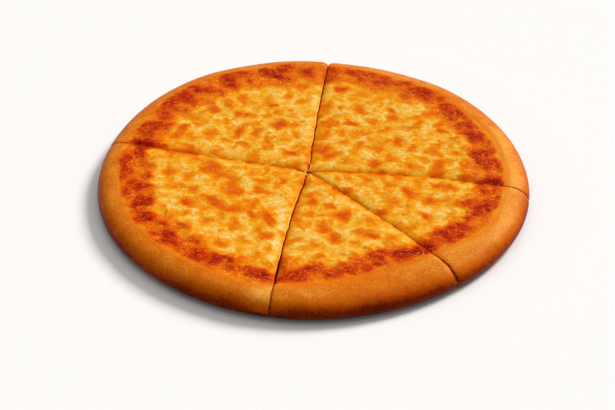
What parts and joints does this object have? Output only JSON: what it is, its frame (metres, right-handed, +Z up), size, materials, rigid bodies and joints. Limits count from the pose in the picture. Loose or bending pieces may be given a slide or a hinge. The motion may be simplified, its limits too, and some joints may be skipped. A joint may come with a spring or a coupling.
{
  "type": "pizza",
  "caption": "Round thick-crust pizza with browned melted cheese, cut into slices that still lie together, with a puffy golden rim and a flat underside.",
  "frame": {"origin": "centre of the flat underside, where the pizza rests", "axes": "+Z up out of the cheese; +X to the viewer's right and +Y away from the viewer in the reference view"},
  "size_m": [0.3006, 0.2975, 0.0169],
  "materials": {
    "baked_bread": "satin golden-brown baked bread, paler towards the inner side of the rim and darker low down",
    "tomato_sauce": "dark orange-red cooked tomato sauce",
    "browned_cheese": "oily golden melted cheese with soft orange spots and dark red-brown toasted blisters near the rim"
  },
  "bodies": {
    "root": {"crust_1": "baked_bread", "sauce_1": "tomato_sauce", "cheese_1": "browned_cheese", "crust_2": "baked_bread", "sauce_2": "tomato_sauce", "cheese_2": "browned_cheese", "crust_3": "baked_bread", "sauce_3": "tomato_sauce", "cheese_3": "browned_cheese", "crust_4": "baked_bread", "sauce_4": "tomato_sauce", "cheese_4": "browned_cheese", "crust_5": "baked_bread", "sauce_5": "tomato_sauce", "cheese_5": "browned_cheese"}
  },
  "joints": []
}
